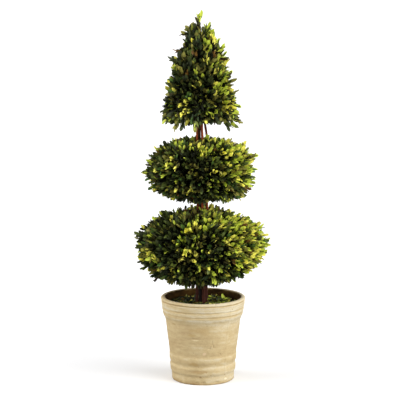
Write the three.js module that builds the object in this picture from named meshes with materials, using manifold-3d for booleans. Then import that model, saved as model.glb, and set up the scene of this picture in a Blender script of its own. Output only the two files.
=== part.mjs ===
// A clipped boxwood in an old clay pot: a cone of foliage over two flattened balls, carried by a
// bundle of thin stems that stand together in the soil. Millimetres, +Z up. The origin is the
// middle of the pot's flat underside.
import * as THREE from 'three';
import { mergeVertices } from 'three/addons/utils/BufferGeometryUtils.js';
import Module from 'manifold-3d';

const wasm = await Module();
wasm.setup();

// ---------------------------------------------------------------- driving dimensions

const GAP = 0.3; // clearance between pieces that touch

const POT = {
  height: 210,
  baseRadius: 77.5,
  edgeRound: 4, // the lower edge's rounding
  footRadius: 78,
  footTop: 21, // the plain foot ends here
  bodyStart: 72,
  bodyRadius: 83.2, // at the start of the body
  bodyEnd: 153,
  shoulderRadius: 93, // at the end of the body
  collarStart: 167, // the rim's thick collar, from here to the top
  collarRadius: 98.9,
  rimRadius: 105.7,
  lipRadius: 5,
  mouthRadius: 92.8,
  floor: 14,
  floorRadius: 66,
  segments: 38,
};
// The two rounded ridges round the foot: where the crest is, how far out the wall behind it lies,
// and half the ridge's height.
const RIDGES = [
  { crest: 36.5, radius: 83, wall: 80, half: 13 },
  { crest: 60, radius: 85, wall: 81, half: 11 },
];
// The two flat rolls round the collar. The wall behind them slopes outwards, and a fine groove is
// left over and under each.
const ROLLS = [
  { crest: 179, radius: 101.8, wall: 99.2, wallTop: 101, half: 7.5 },
  { crest: 195, radius: 104.2, wall: 101, wallTop: 103.4, half: 7.5 },
];

const SOIL_TOP = 186;
// The pad of fallen leaves: its radius, its height at the edge and round the stems, its slope's
// width at the edge, and its lumps.
const LITTER = {
  radius: 88.5,
  edge: 5,
  crown: 10,
  slope: 2,
  rings: 4,
  lump: 2.5,
  lumpLength: 30,
  seed: 21,
};

const TREE_TOP = 914;
const STEMS = { foot: SOIL_TOP + GAP, sides: 7, flareHeight: 26 };
// The middle stem runs up through both balls and nearly to the cone's tip.
const MAIN_STEM = { top: 872, topRadius: 1.3, flare: 1.25, steps: 15 };
const MIDDLE = { angle: 0, apart: [0, 0, 0, 0], footRadius: 3.7 };
// The side stems stand round it, each at its own angle, and wander in and out as they rise. How
// far each stands from the middle is given at the soil, between the balls, over the middle ball
// and inside the cone's foot.
const STATIONS = [SOIL_TOP, 440, 608, 648];
const SIDE_STEM = { top: 742, topRadius: 2.5, flare: 1.15, steps: 18 };
const SIDE_STEMS = [
  { angle: 186, apart: [11, 6.8, 6.4, 9], footRadius: 3.5 },
  { angle: 308, apart: [10.5, 8, 9.5, 7.5], footRadius: 3.8 },
  { angle: 12, apart: [12, 15.5, 18.5, 10], footRadius: 3.6 },
  { angle: 104, apart: [10.5, 10, 10, 9], footRadius: 3.3 },
];
// The stems lean a little to -X as they rise.
const LEAN = { foot: -4, top: -10 };

// Each mass is a solid of revolution with uneven lumps. Fullness 2 is an ellipse, more is squarer.
const LOWER_BALL = { centre: [-2, 0, 335], radius: 161, half: 99.5, fullness: 2.05, seed: 3 };
const MIDDLE_BALL = { centre: [-5, 0, 527], radius: 133, half: 80, fullness: 2.35, seed: 8 };
// The cone bulges: its radius is that share of its base's that the two powers give.
const CONE = { centre: [-7, 0], bottom: 645, radius: 98, cornerRound: 16, seed: 14 };
const CONE_BULGE = { inner: 1.5, outer: 0.85 };
const MASS_SEGMENTS = 32;
const BALL_RINGS = 15;
const CONE_RINGS = 11;
const LUMPS = { height: 4.2, length: 62, waves: 7 }; // how far they stand out, how long they are

// ---------------------------------------------------------------- outlines and surfaces

const at = (radius, height) => new THREE.Vector2(radius, height);

function arc(centreRadius, centreHeight, radius, fromDegrees, toDegrees, steps) {
  return Array.from({ length: steps + 1 }, (_, i) => {
    const angle = THREE.MathUtils.degToRad(fromDegrees + ((toDegrees - fromDegrees) * i) / steps);
    return at(centreRadius + radius * Math.cos(angle), centreHeight + radius * Math.sin(angle));
  });
}

/** A rounded ridge that stands out from the wall to its crest and falls back again. */
function ridge({ crest, radius, wall, wallTop = wall, half }, steps = 4) {
  const out = radius - (wall + wallTop) / 2;
  return Array.from({ length: steps + 1 }, (_, i) => {
    const t = (2 * i) / steps - 1;
    const behind = THREE.MathUtils.lerp(wall, wallTop, (t + 1) / 2);
    return at(behind + out * Math.cos((t * Math.PI) / 2), crest + t * half);
  });
}

/** The pot's wall from the middle of its underside, up the outside, and down the inside. */
function potOutline() {
  const { height, baseRadius, edgeRound, footTop, footRadius } = POT;
  const edge = arc(baseRadius - edgeRound, edgeRound, edgeRound, -90, 0, 3);
  const lipHeight = height - POT.lipRadius;
  return [
    at(0, 0),
    ...edge,
    at(footRadius, footTop),
    ...ridge(RIDGES[0]),
    ...ridge(RIDGES[1]).slice(1),
    at(POT.bodyRadius, POT.bodyStart),
    at(POT.shoulderRadius, POT.bodyEnd),
    at(POT.collarRadius, POT.collarStart),
    ...ridge(ROLLS[0]),
    ...ridge(ROLLS[1]),
    ...arc(POT.rimRadius - POT.lipRadius, lipHeight, POT.lipRadius, 20, 90, 3),
    ...arc(POT.mouthRadius + POT.lipRadius, lipHeight, POT.lipRadius, 100, 180, 2),
    at(POT.floorRadius, POT.floor),
    at(0, POT.floor),
  ];
}

/** The radius of the pot's inner wall at a height. */
function innerRadius(z) {
  const rise = (z - POT.floor) / (POT.height - POT.lipRadius - POT.floor);
  return THREE.MathUtils.lerp(POT.floorRadius, POT.mouthRadius, rise);
}

/** A flattened ball's outline, from its lower pole to its upper one. */
function ballOutline({ centre, radius, half, fullness }) {
  const power = 2 / fullness;
  return Array.from({ length: BALL_RINGS + 1 }, (_, i) => {
    const angle = Math.PI * (i / BALL_RINGS - 0.5);
    const out = i === 0 || i === BALL_RINGS ? 0 : Math.cos(angle) ** power;
    const up = Math.sign(angle) * Math.abs(Math.sin(angle)) ** power;
    return at(radius * out, centre[2] + half * up);
  });
}

/** The cone's outline: a flat underside, a rounded lower edge, then a bulging slope to the tip. */
function coneOutline({ bottom, radius, cornerRound }) {
  const edge = arc(radius - cornerRound, bottom + cornerRound, cornerRound, -90, -15, 3);
  const start = bottom + cornerRound;
  const slope = Array.from({ length: CONE_RINGS }, (_, i) => {
    const rise = i / (CONE_RINGS - 1);
    const z = THREE.MathUtils.lerp(start, TREE_TOP, rise);
    const u = (z - bottom) / (TREE_TOP - bottom);
    return at(radius * Math.max(0, 1 - u ** CONE_BULGE.inner) ** CONE_BULGE.outer, z);
  });
  return [at(0, bottom), at((radius - cornerRound) / 2, bottom), ...edge, ...slope];
}

/** A small repeatable random source, from 0 to 1. */
function seededRandom(seed) {
  let state = seed * 2654435761;
  return () => {
    state = (Math.imul(state ^ (state >>> 15), 2246822519) + 3266489917) >>> 0;
    return ((state ^ (state >>> 13)) >>> 0) / 4294967296;
  };
}

/** A smooth uneven field from -1 to 1: a few waves that run in seeded directions. */
function unevenField(seed, length) {
  const random = seededRandom(seed);
  const waves = Array.from({ length: LUMPS.waves }, () => ({
    direction: new THREE.Vector3(random() - 0.5, random() - 0.5, random() - 0.5).normalize(),
    pitch: (2 * Math.PI) / (length * (0.7 + 0.8 * random())),
    phase: 2 * Math.PI * random(),
  }));
  const size = 1 / Math.sqrt(LUMPS.waves); // keeps most of the sum within -1 to 1
  return (p) => {
    const sum = waves.reduce((s, w) => s + Math.sin(p.dot(w.direction) * w.pitch + w.phase), 0);
    return THREE.MathUtils.clamp(sum * size, -1, 1);
  };
}

// ---------------------------------------------------------------- solids

/** A closed mesh from an outline turned about +Z. */
function turned(outline, segments) {
  const geometry = new THREE.LatheGeometry(outline, segments).rotateX(Math.PI / 2);
  return sealed(geometry);
}

/** The same mesh with its shared vertices merged, so that it holds water. */
function sealed(geometry) {
  geometry.deleteAttribute('normal');
  geometry.deleteAttribute('uv');
  return mergeVertices(geometry, 1e-3);
}

/** Moves every vertex of a geometry by a function of its place. */
function moveVertices(geometry, move) {
  const position = geometry.getAttribute('position');
  const point = new THREE.Vector3();
  for (let i = 0; i < position.count; i++) {
    point.fromBufferAttribute(position, i);
    move(point);
    position.setXYZ(i, point.x, point.y, point.z);
  }
  return geometry;
}

const solidOf = (geometry) =>
  new wasm.Manifold(
    new wasm.Mesh({
      numProp: 3,
      vertProperties: geometry.getAttribute('position').array,
      triVerts: new Uint32Array(geometry.index.array),
    }),
  );

function geometryOf(solid) {
  const { vertProperties, triVerts } = solid.getMesh();
  const geometry = new THREE.BufferGeometry();
  geometry.setAttribute('position', new THREE.BufferAttribute(vertProperties, 3));
  geometry.setIndex(new THREE.BufferAttribute(triVerts, 1));
  return geometry;
}

/** The middle line of the bundle at a height. */
function leanAt(z) {
  return THREE.MathUtils.lerp(LEAN.foot, LEAN.top, (z - STEMS.foot) / (TREE_TOP - STEMS.foot));
}

/** How far a stem stands from the middle at a height, swinging smoothly between its stations. */
function apartAt(z, apart) {
  const next = STATIONS.findIndex((station) => z < station);
  if (next < 1) return next === 0 ? apart[0] : apart.at(-1);
  const share = THREE.MathUtils.smoothstep(z, STATIONS[next - 1], STATIONS[next]);
  return THREE.MathUtils.lerp(apart[next - 1], apart[next], share);
}

/** One stem: a tapering rod with a flared, flat-cut foot, bent along its own line. */
function stem({ angle, apart, footRadius }, { top, topRadius, flare, steps }, grow = 0) {
  const length = top - STEMS.foot + 2 * grow;
  const { sides, foot, flareHeight } = STEMS;
  const rod = new THREE.CylinderGeometry(
    topRadius + grow, footRadius + grow, length, sides, steps,
  );
  rod.rotateX(Math.PI / 2).translate(0, 0, foot - grow + length / 2);
  const away = THREE.MathUtils.degToRad(angle);
  return sealed(moveVertices(rod, (p) => {
    const widen = 1 + (flare - 1) * Math.exp(-(p.z - foot) / flareHeight);
    const out = apartAt(p.z, apart);
    p.x = p.x * widen + leanAt(p.z) + out * Math.cos(away);
    p.y = p.y * widen + out * Math.sin(away);
  }));
}

/** Every stem's solid, made thicker by `grow` where it is used to cut a mass. */
function stems(grow = 0) {
  return [
    stem(MIDDLE, MAIN_STEM, grow),
    ...SIDE_STEMS.map((place) => stem(place, SIDE_STEM, grow)),
  ];
}

/** A mass of foliage: its outline turned, made uneven, and cut round the stems. */
function foliage(outline, { centre, seed }, cutters) {
  const field = unevenField(seed, LUMPS.length);
  const middle = outline[0].y + (outline.at(-1).y - outline[0].y) / 2;
  const away = new THREE.Vector3();
  const body = moveVertices(turned(outline, MASS_SEGMENTS), (p) => {
    away.set(p.x, p.y, p.z - middle).normalize();
    p.addScaledVector(away, LUMPS.height * field(p));
    p.z = Math.min(p.z, TREE_TOP);
    p.x += centre[0];
    p.y += centre[1];
  });
  return geometryOf(cutters.reduce((solid, cutter) => solid.subtract(cutter), solidOf(body)));
}

/** The soil: a plug that fills the pot from its floor to the soil line. */
function soil() {
  const bottom = POT.floor + GAP;
  return turned([
    at(0, bottom),
    at(innerRadius(bottom) - GAP, bottom),
    at(innerRadius(SOIL_TOP) - GAP, SOIL_TOP),
    at(0, SOIL_TOP),
  ], POT.segments);
}

/** Fallen leaves on the soil: a thin uneven pad, highest round the stems. */
function leafLitter(cutters) {
  const { radius, edge, crown, slope, rings, lump, lumpLength, seed } = LITTER;
  const field = unevenField(seed, lumpLength);
  const bottom = SOIL_TOP + GAP;
  const top = Array.from({ length: rings }, (_, i) => {
    const share = 1 - i / (rings - 1);
    return at((radius - slope) * share, bottom + edge + (crown - edge) * (1 - share ** 2));
  });
  const pad = turned([at(0, bottom), at(radius, bottom), ...top], POT.segments);
  moveVertices(pad, (p) => {
    const onTop = p.z > bottom + edge / 2;
    p.z += onTop ? lump * field(p) : 0;
  });
  return geometryOf(cutters.reduce((solid, cutter) => solid.subtract(cutter), solidOf(pad)));
}

// ---------------------------------------------------------------- the assembly

function piece(name, geometry, color, roughness) {
  const material = new THREE.MeshStandardMaterial({ color, roughness, metalness: 0 });
  const mesh = new THREE.Mesh(geometry, material);
  mesh.name = name;
  return mesh;
}

function topiary() {
  const cutters = stems(GAP).map(solidOf);
  const [mainStem, ...sideStems] = stems();
  const group = new THREE.Group();
  group.add(
    piece('pot', turned(potOutline(), POT.segments), 0xc9b48c, 0.9),
    piece('soil', soil(), 0x2b231a, 1),
    piece('leaf_litter', leafLitter(cutters), 0x3a3a1c, 0.9),
    piece('main_stem', mainStem, 0x5a3426, 0.8),
    ...sideStems.map((geometry, i) => piece(`side_stem_${i + 1}`, geometry, 0x6e402b, 0.8)),
    piece('lower_ball', foliage(ballOutline(LOWER_BALL), LOWER_BALL, cutters), 0x4c5423, 0.7),
    piece('middle_ball', foliage(ballOutline(MIDDLE_BALL), MIDDLE_BALL, cutters), 0x4c5423, 0.7),
    piece('cone', foliage(coneOutline(CONE), CONE, cutters), 0x4c5423, 0.7),
  );
  return group;
}

export default topiary();
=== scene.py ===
"""A clipped boxwood in an old clay pot: a cone of leaves over two flattened balls, on thin stems.

Metres, +Z up, front towards -Y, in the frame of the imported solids. The stems, the pot, the soil,
the fallen leaves and the three masses of foliage stand in for their plain solids.
"""
import math

import bpy
import numpy as np
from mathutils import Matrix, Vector, noise
from mathutils.bvhtree import BVHTree
from mathutils.geometry import intersect_point_line
from mathutils.kdtree import KDTree


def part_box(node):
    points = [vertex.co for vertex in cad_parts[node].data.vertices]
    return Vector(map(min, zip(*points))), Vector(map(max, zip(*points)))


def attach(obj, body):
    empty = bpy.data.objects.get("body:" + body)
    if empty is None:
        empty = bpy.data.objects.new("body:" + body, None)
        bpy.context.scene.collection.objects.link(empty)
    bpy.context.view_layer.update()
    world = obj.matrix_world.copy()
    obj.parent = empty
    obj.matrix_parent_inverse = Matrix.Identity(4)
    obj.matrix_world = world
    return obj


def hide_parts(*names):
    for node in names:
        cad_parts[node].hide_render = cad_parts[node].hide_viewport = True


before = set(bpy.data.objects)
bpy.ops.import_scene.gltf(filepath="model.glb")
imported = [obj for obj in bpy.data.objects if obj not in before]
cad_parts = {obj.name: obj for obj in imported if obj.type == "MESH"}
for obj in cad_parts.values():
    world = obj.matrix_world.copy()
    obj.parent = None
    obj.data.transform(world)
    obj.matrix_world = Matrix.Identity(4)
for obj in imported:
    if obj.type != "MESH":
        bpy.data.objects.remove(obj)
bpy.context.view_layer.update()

MM = 0.001
UP = np.array([0.0, 0.0, 1.0])
SUN_SIDE = np.array([0.94, 0.02, 0.33])  # the side of the plant that has grown towards the sun, where brighter leaf tones paint its light
SEED = 7

# ------------------------------------------------------------------ the foliage's measures

# Each mass of foliage: the spacing of its boughs, twigs and sprigs on the clipped surface, how
# strongly its sprigs turn up from the surface at its foot and at its top, how strongly those on
# its sunny side lean that way, how much more young leaf and brighter tone it has there, which is
# painted light, and how large its leaves are against the rest.
MASSES = {
    "lower_ball": {
        "boughs": 0.075, "twigs": 0.033, "sprigs": 0.0097,
        "lift": (0.1, 0.1), "lean": 0.6, "sunny": 0.94, "leaf": 1.0,
    },
    "middle_ball": {
        "boughs": 0.065, "twigs": 0.031, "sprigs": 0.0097,
        "lift": (0.1, 0.1), "lean": 0.45, "sunny": 0.94, "leaf": 1.0,
    },
    "cone": {
        "boughs": 0.055, "twigs": 0.028, "sprigs": 0.0102,
        "lift": (-0.2, 2.4), "lean": 0.0, "sunny": 0.68, "leaf": 1.12,
    },
}

LEAF_ROWS = (0.18, 0.48, 0.78, 0.94)  # where along the blade its cross rows lie
LEAF_HALF_WIDTHS = (0.5, 0.95, 0.95, 0.55)  # the outline at those rows, blunt at the tip
LEAF_LENGTH = (0.0187, 0.0213)  # youngest, oldest
FIRST_GROWTH = 0.3  # how far the leaves at the last bud have grown from the one to the other
LEAF_SLIMNESS = 0.335  # width over length
PAIRS = 6  # pairs of leaves on a sprig
PAIR_STEP = 0.0068  # from one pair to the next, in metres
INNER_PAIR = 3  # from this pair down, the leaves are old and take the dark inner tone, which is painted shade
MOST_YOUNG_PAIRS = 3
LEAF_ANGLES = (8, 24, 60)  # degrees from the sprig: at its last bud, first inner pair, lowest pair
ODD_TONES, ODD_AGES = 0.1, 0.07  # the share of leaves that differ from the rest of their sprig
# How much the leaves differ in their turn round the sprig, in their angle to it and in their
# roll, in radians; in their length and width, from least to most; in the rise of their edges;
# and in their bend, its middle and its spread.
TURN_WOBBLE, ANGLE_WOBBLE, ROLL_WOBBLE = 0.3, 0.13, 0.45
LEAF_LENGTHS, LEAF_WIDTHS, LEAF_FOLDS = (0.82, 1.15), (0.82, 1.18), (0.15, 0.6)
LEAF_BENDS = (-0.03, 0.09)

BUD_DEPTH = 0.0195  # how far under the clipped surface a sprig's last bud lies
BUD_UNEVEN = 0.005  # how much that differs from sprig to sprig
HOLLOWS = (0.011, 0.028)  # how deep and how wide the surface's hollows are
# The share of sunny tones, which are painted light, on a sprig square to the sun's side, and how
# much it rises towards it.
SUNNY_BASE, SUNNY_RISE = 0.13, 1.1
LEE_SIDE = 0.6  # how much young leaf and brighter tone is painted again, as light, on the side that faces away from the sun
LEE_FROM = 0.55  # how far round from the sun that side starts
YOUNG_BASE, YOUNG_RISE = 0.3, 0.6  # the share of young leaves in the shade, and its rise in the sun, painted light
CLUMPS = (0.45, 0.035)  # how strongly and how widely sprigs of like tone stand together
LEVEL_DEPTH = 0.0015  # how much deeper the buds lie where the shears ran level
LEVEL_EVENNESS = 0.6  # how much less uneven the buds are there
SPRIG_WANDER = 0.18  # how much the sprigs' directions differ by chance
FROM_HEART = 0.6  # the share of a sprig's direction that is out from its mass's heart
SPRIG_SIZES, SPRIG_SPREADS = (0.85, 1.15), (0.7, 1.35)  # leaf size and spread, sprig by sprig
SHALLOWER = 0.003  # how much nearer the surface than its last bud a sprig may bear leaves
SURFACE_POINTS = 30000  # how many places on the clipped surface the limbs' ends are picked from
BOUGH_RISE = 0.35  # how much a bough rises for each metre that it goes out
BOUGH_SHARE, TWIG_SHARE = 0.5, 0.55  # how much of the way to the surface they go
TWIG_BACK, SPRIG_BACK = 0.35, 0.3  # how far back along the limb before them they may start

# Leaf tones: the colour of a sprig's full-grown blades and of its young ones, and how often a
# sprig has that tone in the shade and on the sunny side, whose brighter mix is painted light.
TONES = {
    "deep": {"old": "222716", "young": "3e4721", "shade": 0.34, "sun": 0.02},
    "boxwood": {"old": "2e351a", "young": "58642c", "shade": 0.25, "sun": 0.06},
    "bright_green": {"old": "2a381d", "young": "506b30", "shade": 0.08, "sun": 0.04},
    "olive": {"old": "464320", "young": "8b8740", "shade": 0.16, "sun": 0.12},
    "lime": {"old": "5d682b", "young": "c3d04a", "shade": 0.08, "sun": 0.43},
    "yellow": {"old": "6e6b30", "young": "ece662", "shade": 0.065, "sun": 0.32},
    "bronze": {"old": "382a12", "young": "735424", "shade": 0.025, "sun": 0.01},
}
# the inner leaves' near-black tone is painted shade deep in the foliage
PAINTED_SHADE_TONE = "14160b"

# Sprigs that stand out beyond the shears, in each mass: the height in metres, the way they face
# in degrees (0 right, 180 left, 270 front), how far out they stand, how they tilt up or down,
# and their tone.
STRAY_SPRIGS = {
    "cone": (
        (0.871, 180, 0.004, 0.2, "olive"), (0.884, 350, 0.006, 2.0, "lime"),
        (0.862, 185, 0.013, 0.0, "olive"), (0.868, 330, 0.004, 0.6, "lime"),
        (0.819, 180, 0.010, 0.1, "bronze"), (0.796, 178, 0.014, 0.2, "deep"),
        (0.824, 0, 0.012, 0.9, "lime"), (0.802, 355, 0.010, 0.1, "bronze"),
        (0.746, 2, 0.007, 0.6, "olive"), (0.693, 238, 0.006, -0.3, "yellow"),
        (0.674, 243, 0.006, -0.6, "yellow"), (0.702, 247, 0.006, 0.3, "yellow"),
        (0.746, 268, 0.006, 0.9, "yellow"), (0.797, 288, 0.006, 0.9, "yellow"),
        (0.651, 233, 0.019, -1.4, "olive"), (0.650, 244, 0.018, -1.6, "deep"),
        (0.651, 326, 0.018, -0.9, "lime"), (0.650, 314, 0.016, -1.2, "deep"),
        (0.652, 342, 0.013, -0.6, "olive"), (0.650, 263, 0.014, -3.0, "lime"),
    ),
    "middle_ball": (
        (0.608, 296, 0.006, 1.2, "lime"), (0.602, 318, 0.006, 0.9, "lime"),
        (0.521, 180, 0.006, 0.0, "deep"), (0.560, 0, 0.008, 0.2, "lime"),
        (0.588, 340, 0.006, 0.7, "lime"), (0.568, 227, 0.004, 0.5, "yellow"),
        (0.558, 229, 0.004, -0.8, "yellow"), (0.547, 232, 0.004, -0.5, "lime"),
        (0.548, 242, 0.004, -0.8, "yellow"), (0.537, 221, 0.004, -0.3, "bright_green"),
        (0.536, 213, 0.005, -1.5, "yellow"), (0.522, 186, 0.006, 0.2, "yellow"),
        (0.548, 183, 0.003, 0.3, "lime"), (0.496, 260, 0.005, -0.6, "yellow"),
        (0.531, 294, 0.004, 0.2, "yellow"), (0.541, 325, 0.006, 0.1, "lime"),
        (0.533, 332, 0.006, 0.0, "lime"), (0.500, 345, 0.006, -0.1, "lime"),
        (0.580, 300, 0.004, 0.3, "yellow"), (0.597, 302, 0.004, 1.0, "lime"),
    ),
    "lower_ball": (
        (0.382, 0, 0.008, 0.5, "lime"), (0.351, 0, 0.004, 0.1, "lime"),
        (0.425, 300, 0.006, 1.2, "lime"), (0.404, 272, 0.004, 1.0, "lime"),
        (0.396, 258, 0.004, 0.6, "yellow"), (0.395, 320, 0.006, 0.3, "yellow"),
        (0.380, 249, 0.004, 1.2, "lime"), (0.375, 348, 0.006, 0.3, "lime"),
        (0.348, 256, 0.005, -0.8, "yellow"), (0.346, 265, 0.006, 1.2, "yellow"),
        (0.340, 271, 0.004, 0.5, "bright_green"), (0.330, 226, 0.004, 1.0, "yellow"),
        (0.320, 311, 0.008, 0.0, "yellow"), (0.312, 306, 0.007, -0.2, "lime"),
        (0.310, 267, 0.004, -0.8, "lime"), (0.306, 276, 0.004, -1.2, "lime"),
        (0.304, 286, 0.004, -0.8, "lime"), (0.290, 294, 0.005, -0.5, "yellow"),
        (0.276, 282, 0.005, -1.5, "lime"), (0.260, 190, 0.006, -0.4, "yellow"),
    ),
}
# Their share of young leaves, the size and the spread of their leaves against the rest, and how
# many pairs they bear; and the same of the leader, the one upright sprig at the tip.
STRAY_HABIT = {"young": 0.8, "size": 1.25, "spread": 0.8, "pairs": 3}
LEADER_HABIT = {"young": 1.0, "size": 1.35, "spread": 0.3, "pairs": 3}
LEADER_PLACE = np.array([-0.002, -0.002, 0.004])  # from the highest point of the clipped surface
LEADER_REACH = 1.1  # how far its leaves reach over its last bud, in lengths of one of them
# Places where the foliage is thin: how far from the mass's axis, the height, the way they face,
# and their reach.
THIN_PLACES = {
    "cone": (
        (0.095, 0.643, 279, 0.013), (0.095, 0.645, 288, 0.014),
        (0.095, 0.643, 297, 0.010), (0.060, 0.643, 284, 0.013),
        (0.003, 0.914, 0, 0.029), (0.018, 0.905, 180, 0.023),
    ),
}
# Places where the shears cut deeper, or less deep: as above, and how much deeper.
CLIPPED_PLACES = {
    "lower_ball": (
        (0.112, 0.265, 345, 0.050, 0.017), (0.060, 0.250, 340, 0.030, 0.010),
        (0.060, 0.415, 345, 0.035, 0.006), (0.085, 0.418, 0, 0.030, 0.006),
        (0.050, 0.430, 180, 0.025, 0.004), (0.064, 0.425, 180, 0.024, 0.006),
        (0.086, 0.419, 322, 0.026, 0.009), (0.086, 0.419, 38, 0.026, 0.009),
        (0.137, 0.398, 0, 0.024, 0.014), (0.112, 0.262, 180, 0.036, -0.012),
        (0.137, 0.280, 180, 0.020, -0.006),
    ),
    "middle_ball": (
        (0.068, 0.602, 0, 0.022, -0.006), (0.068, 0.602, 180, 0.022, -0.006),
        (0.090, 0.458, 342, 0.035, -0.013), (0.060, 0.450, 215, 0.030, 0.006),
        (0.140, 0.500, 180, 0.020, 0.008), (0.120, 0.480, 190, 0.016, -0.006),
        (0.135, 0.520, 0, 0.020, 0.012),
    ),
    "cone": (
        (0.085, 0.640, 180, 0.030, 0.006), (0.085, 0.640, 0, 0.030, 0.008),
        (0.085, 0.745, 0, 0.030, 0.006), (0.100, 0.685, 0, 0.030, 0.008),
        (0.025, 0.880, 0, 0.015, 0.008), (0.045, 0.818, 180, 0.016, 0.008),
        (0.033, 0.856, 180, 0.022, 0.012), (0.050, 0.818, 185, 0.016, 0.010),
        (0.105, 0.695, 180, 0.020, 0.008), (0.092, 0.733, 180, 0.020, 0.009),
    ),
}

# ------------------------------------------------------------------ the pot's measures, in mm

POT_SIDES = 360
POT_STEP = 1.0  # from one ring of the wall's mesh to the next
# Outside of the pot: height and radius at each change of slope, foot to lip.
POT_WALL = (
    (4, 77.5), (21, 78.0), (26, 79.4), (48, 80.4), (72, 83.0), (152, 93.1), (159, 95.2),
    (166, 98.8), (172, 100.5), (200, 104.4), (206, 105.9),
)
# The foot's two ridges: where each starts, stands full, falls off and ends, and how far out.
POT_RIDGES = ((73, 63, 57, 44, 1.9), (47, 38, 31.5, 18, 2.1))
# The collar's grooves: height, depth, half its height.
POT_GROOVES = ((201.8, 1.9, 2.5), (196.3, 0.5, 2.0), (184.8, 1.2, 3.0), (173.2, 1.0, 2.8))
POT_FOOT_ROUNDING = 4.0
POT_MOUTH, POT_HEIGHT = 92.8, 210.0
POT_LIP = 5.2  # the lip's rounding
POT_INSIDE_FOOT = 170.0  # how far down the inside is made, below the soil's top
POT_INSIDE_SLOPE = 0.14  # how much the inside narrows for each mm down
SEAM_FACING = math.radians(312)  # where the mould's two halves met
SEAM_HEIGHT, SEAM_WIDTH = 0.5, 1.6
WALL_RADIUS, FOOT_RADIUS = 88, 85  # turn an angle into a distance round the wall and the foot
POT_FADE = 6  # how far up from the floor the wall's unevenness takes to stand full
POT_PITS, POT_CHIPS = 70, 14
CRACK_DEPTH, CRACK_WIDTH = 0.9, 1.2
# Fine cracks in the wall, each from one end to the other: facing in degrees, height in mm.
POT_CRACKS = (
    ((284.8, 116), (284.7, 107)), ((284.7, 107), (280.4, 93)), ((284.7, 107), (289.7, 95)),
    ((252.5, 120), (264, 119.5)),
)
# Marks on the clay: facing in degrees, height, half the width and half the height in mm, colour.
POT_MARKS = (
    (272, 82, 4.5, 4, "ccb492"), (284.7, 111, 1.2, 4.5, "77623e"),
    (282.4, 99, 1.5, 5, "836d47"), (287.3, 100, 1.6, 4.5, "836d47"),
    (258, 116, 10, 1.6, "d9cba4"), (272.3, 57, 2.4, 2.4, "8a7650"),
    (265.3, 21, 2.6, 1.8, "7d6540"), (254, 54, 14, 5, "a48a58"),
    (264, 34, 18, 4.5, "a0865a"), (316, 12, 5, 2.6, "ded3b4"),
    (312, 26, 2.4, 3.4, "94794c"), (221, 152, 7, 1.8, "9c8350"),
    (262, 141, 22, 6, "aa9265"), (252, 128, 15, 4, "a78f5f"),
    (275, 133, 10, 5, "ae976b"),
)


# ------------------------------------------------------------------ small helpers


def linear(hex_colour):
    """A plain colour, given as six hex digits, in linear light."""
    parts = [int(hex_colour[i : i + 2], 16) / 255 for i in (0, 2, 4)]
    return [c / 12.92 if c <= 0.04045 else ((c + 0.055) / 1.055) ** 2.4 for c in parts] + [1.0]


def unit(vectors):
    """Each row at length one."""
    length = np.linalg.norm(vectors, axis=-1, keepdims=True)
    return vectors / np.maximum(length, 1e-9)


def full_turn(count):
    """Angles spread evenly round a full turn."""
    return np.arange(count) * 2 * math.pi / count


def round_rings(radii, heights):
    """Level rings of points round the vertical axis: a row of radii and a height for each."""
    angles = full_turn(radii.shape[1])
    x, y = radii * np.cos(angles), radii * np.sin(angles)
    return np.stack([x, y, np.tile(heights[:, None], len(angles))], axis=-1)


def across(axes):
    """For each axis, a unit vector square to it, as level as it can be."""
    level = np.cross(axes, UP)
    steep = np.linalg.norm(level, axis=-1) < 1e-3
    level[steep] = (1.0, 0.0, 0.0)
    return unit(level)


def rough(x, y, z):
    """Smooth random waves between about -1 and 1."""
    return noise.noise(Vector((x, y, z)))


def node_points(node):
    """The corners of a CAD node's solid."""
    return np.array([vertex.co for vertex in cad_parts[node].data.vertices])


def nearest(points, targets):
    """For each point, the number of the nearest target."""
    tree = KDTree(len(targets))
    for index, target in enumerate(targets):
        tree.insert(target, index)
    tree.balance()
    return np.array([tree.find(p)[1] for p in points])


def mesh_object(name, points, corners, sizes, materials, shades=None):
    """A mesh from flat arrays: points, the faces' corners one after another, and their sizes."""
    mesh = bpy.data.meshes.new(name)
    mesh.vertices.add(len(points))
    mesh.vertices.foreach_set("co", np.asarray(points, np.float32).ravel())
    mesh.loops.add(len(corners))
    mesh.loops.foreach_set("vertex_index", np.asarray(corners, np.int32))
    starts = np.concatenate([[0], np.cumsum(sizes)[:-1]])
    mesh.polygons.add(len(sizes))
    mesh.polygons.foreach_set("loop_start", starts.astype(np.int32))
    for material in materials:
        mesh.materials.append(material)
    if shades is not None:
        mesh.polygons.foreach_set("material_index", np.asarray(shades, np.int32))
    mesh.polygons.foreach_set("use_smooth", np.full(len(sizes), True))
    mesh.update(calc_edges=True)
    mesh.validate()
    piece = bpy.data.objects.new(name, mesh)
    bpy.context.scene.collection.objects.link(piece)
    return piece


def tube_faces(rows, sides):
    """The corners of a closed tube's faces, its walls' and then its two ends', and their sizes."""
    corner = np.arange(rows * sides).reshape(rows, sides)
    turned = np.roll(corner, -1, axis=1)
    walls = np.stack([corner[:-1], turned[:-1], turned[1:], corner[1:]], axis=-1)
    corners = np.concatenate([walls.ravel(), corner[0, ::-1], corner[-1]])
    return corners, [4] * ((rows - 1) * sides) + [sides] * 2


def tube_object(name, rings, materials, shades=None):
    """A closed tube from rings of points, with a flat cut at each end."""
    rows, sides = rings.shape[:2]
    corners, sizes = tube_faces(rows, sides)
    if shades is not None:
        shades = np.concatenate([np.repeat(shades, sides), [shades[0], shades[-1]]])
    return mesh_object(name, rings.reshape(-1, 3), corners, sizes, materials, shades)


def settle(piece, slot, *nodes):
    """The piece rides on the plant's one body and stands for CAD nodes; its slot is not used."""
    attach(piece, "root")
    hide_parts(*nodes)


# ------------------------------------------------------------------ shader building blocks


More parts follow.
